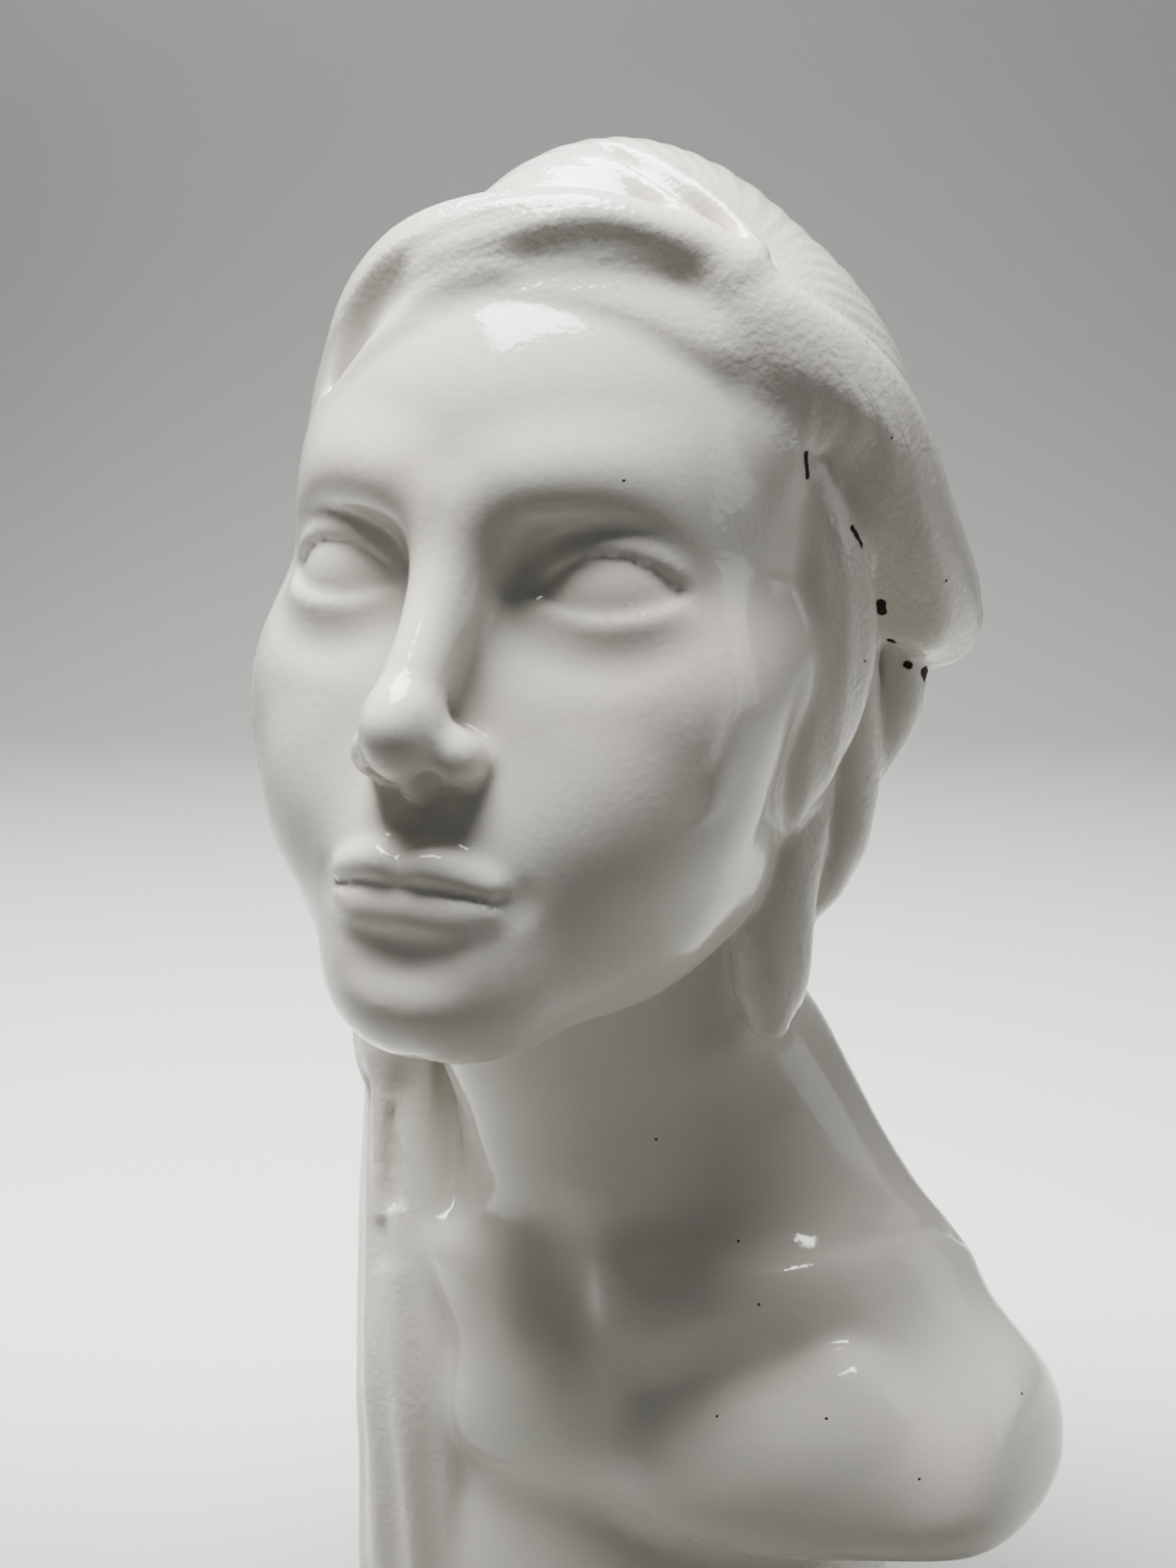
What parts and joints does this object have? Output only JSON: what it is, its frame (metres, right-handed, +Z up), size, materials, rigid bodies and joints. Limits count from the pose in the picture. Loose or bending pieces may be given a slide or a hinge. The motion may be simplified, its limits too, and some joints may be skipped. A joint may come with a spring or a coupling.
{
  "type": "glazed ceramic female bust",
  "caption": "Hollow-cast female bust in glossy white glaze, chin raised, swept-back hair and a long tress over the right shoulder, standing on a flat cut foot.",
  "frame": {"origin": "on the flat underside, below the neck", "axes": "+Z up, along the height; -Y is the way the chest faces; +X is her left side"},
  "size_m": [0.1039, 0.1092, 0.1984],
  "materials": {
    "glaze": "gloss white glaze with orange peel, pinholes and dark clay showing where it broke along the hair's lower crease"
  },
  "bodies": {
    "root": {"bust": "glaze"}
  },
  "joints": []
}
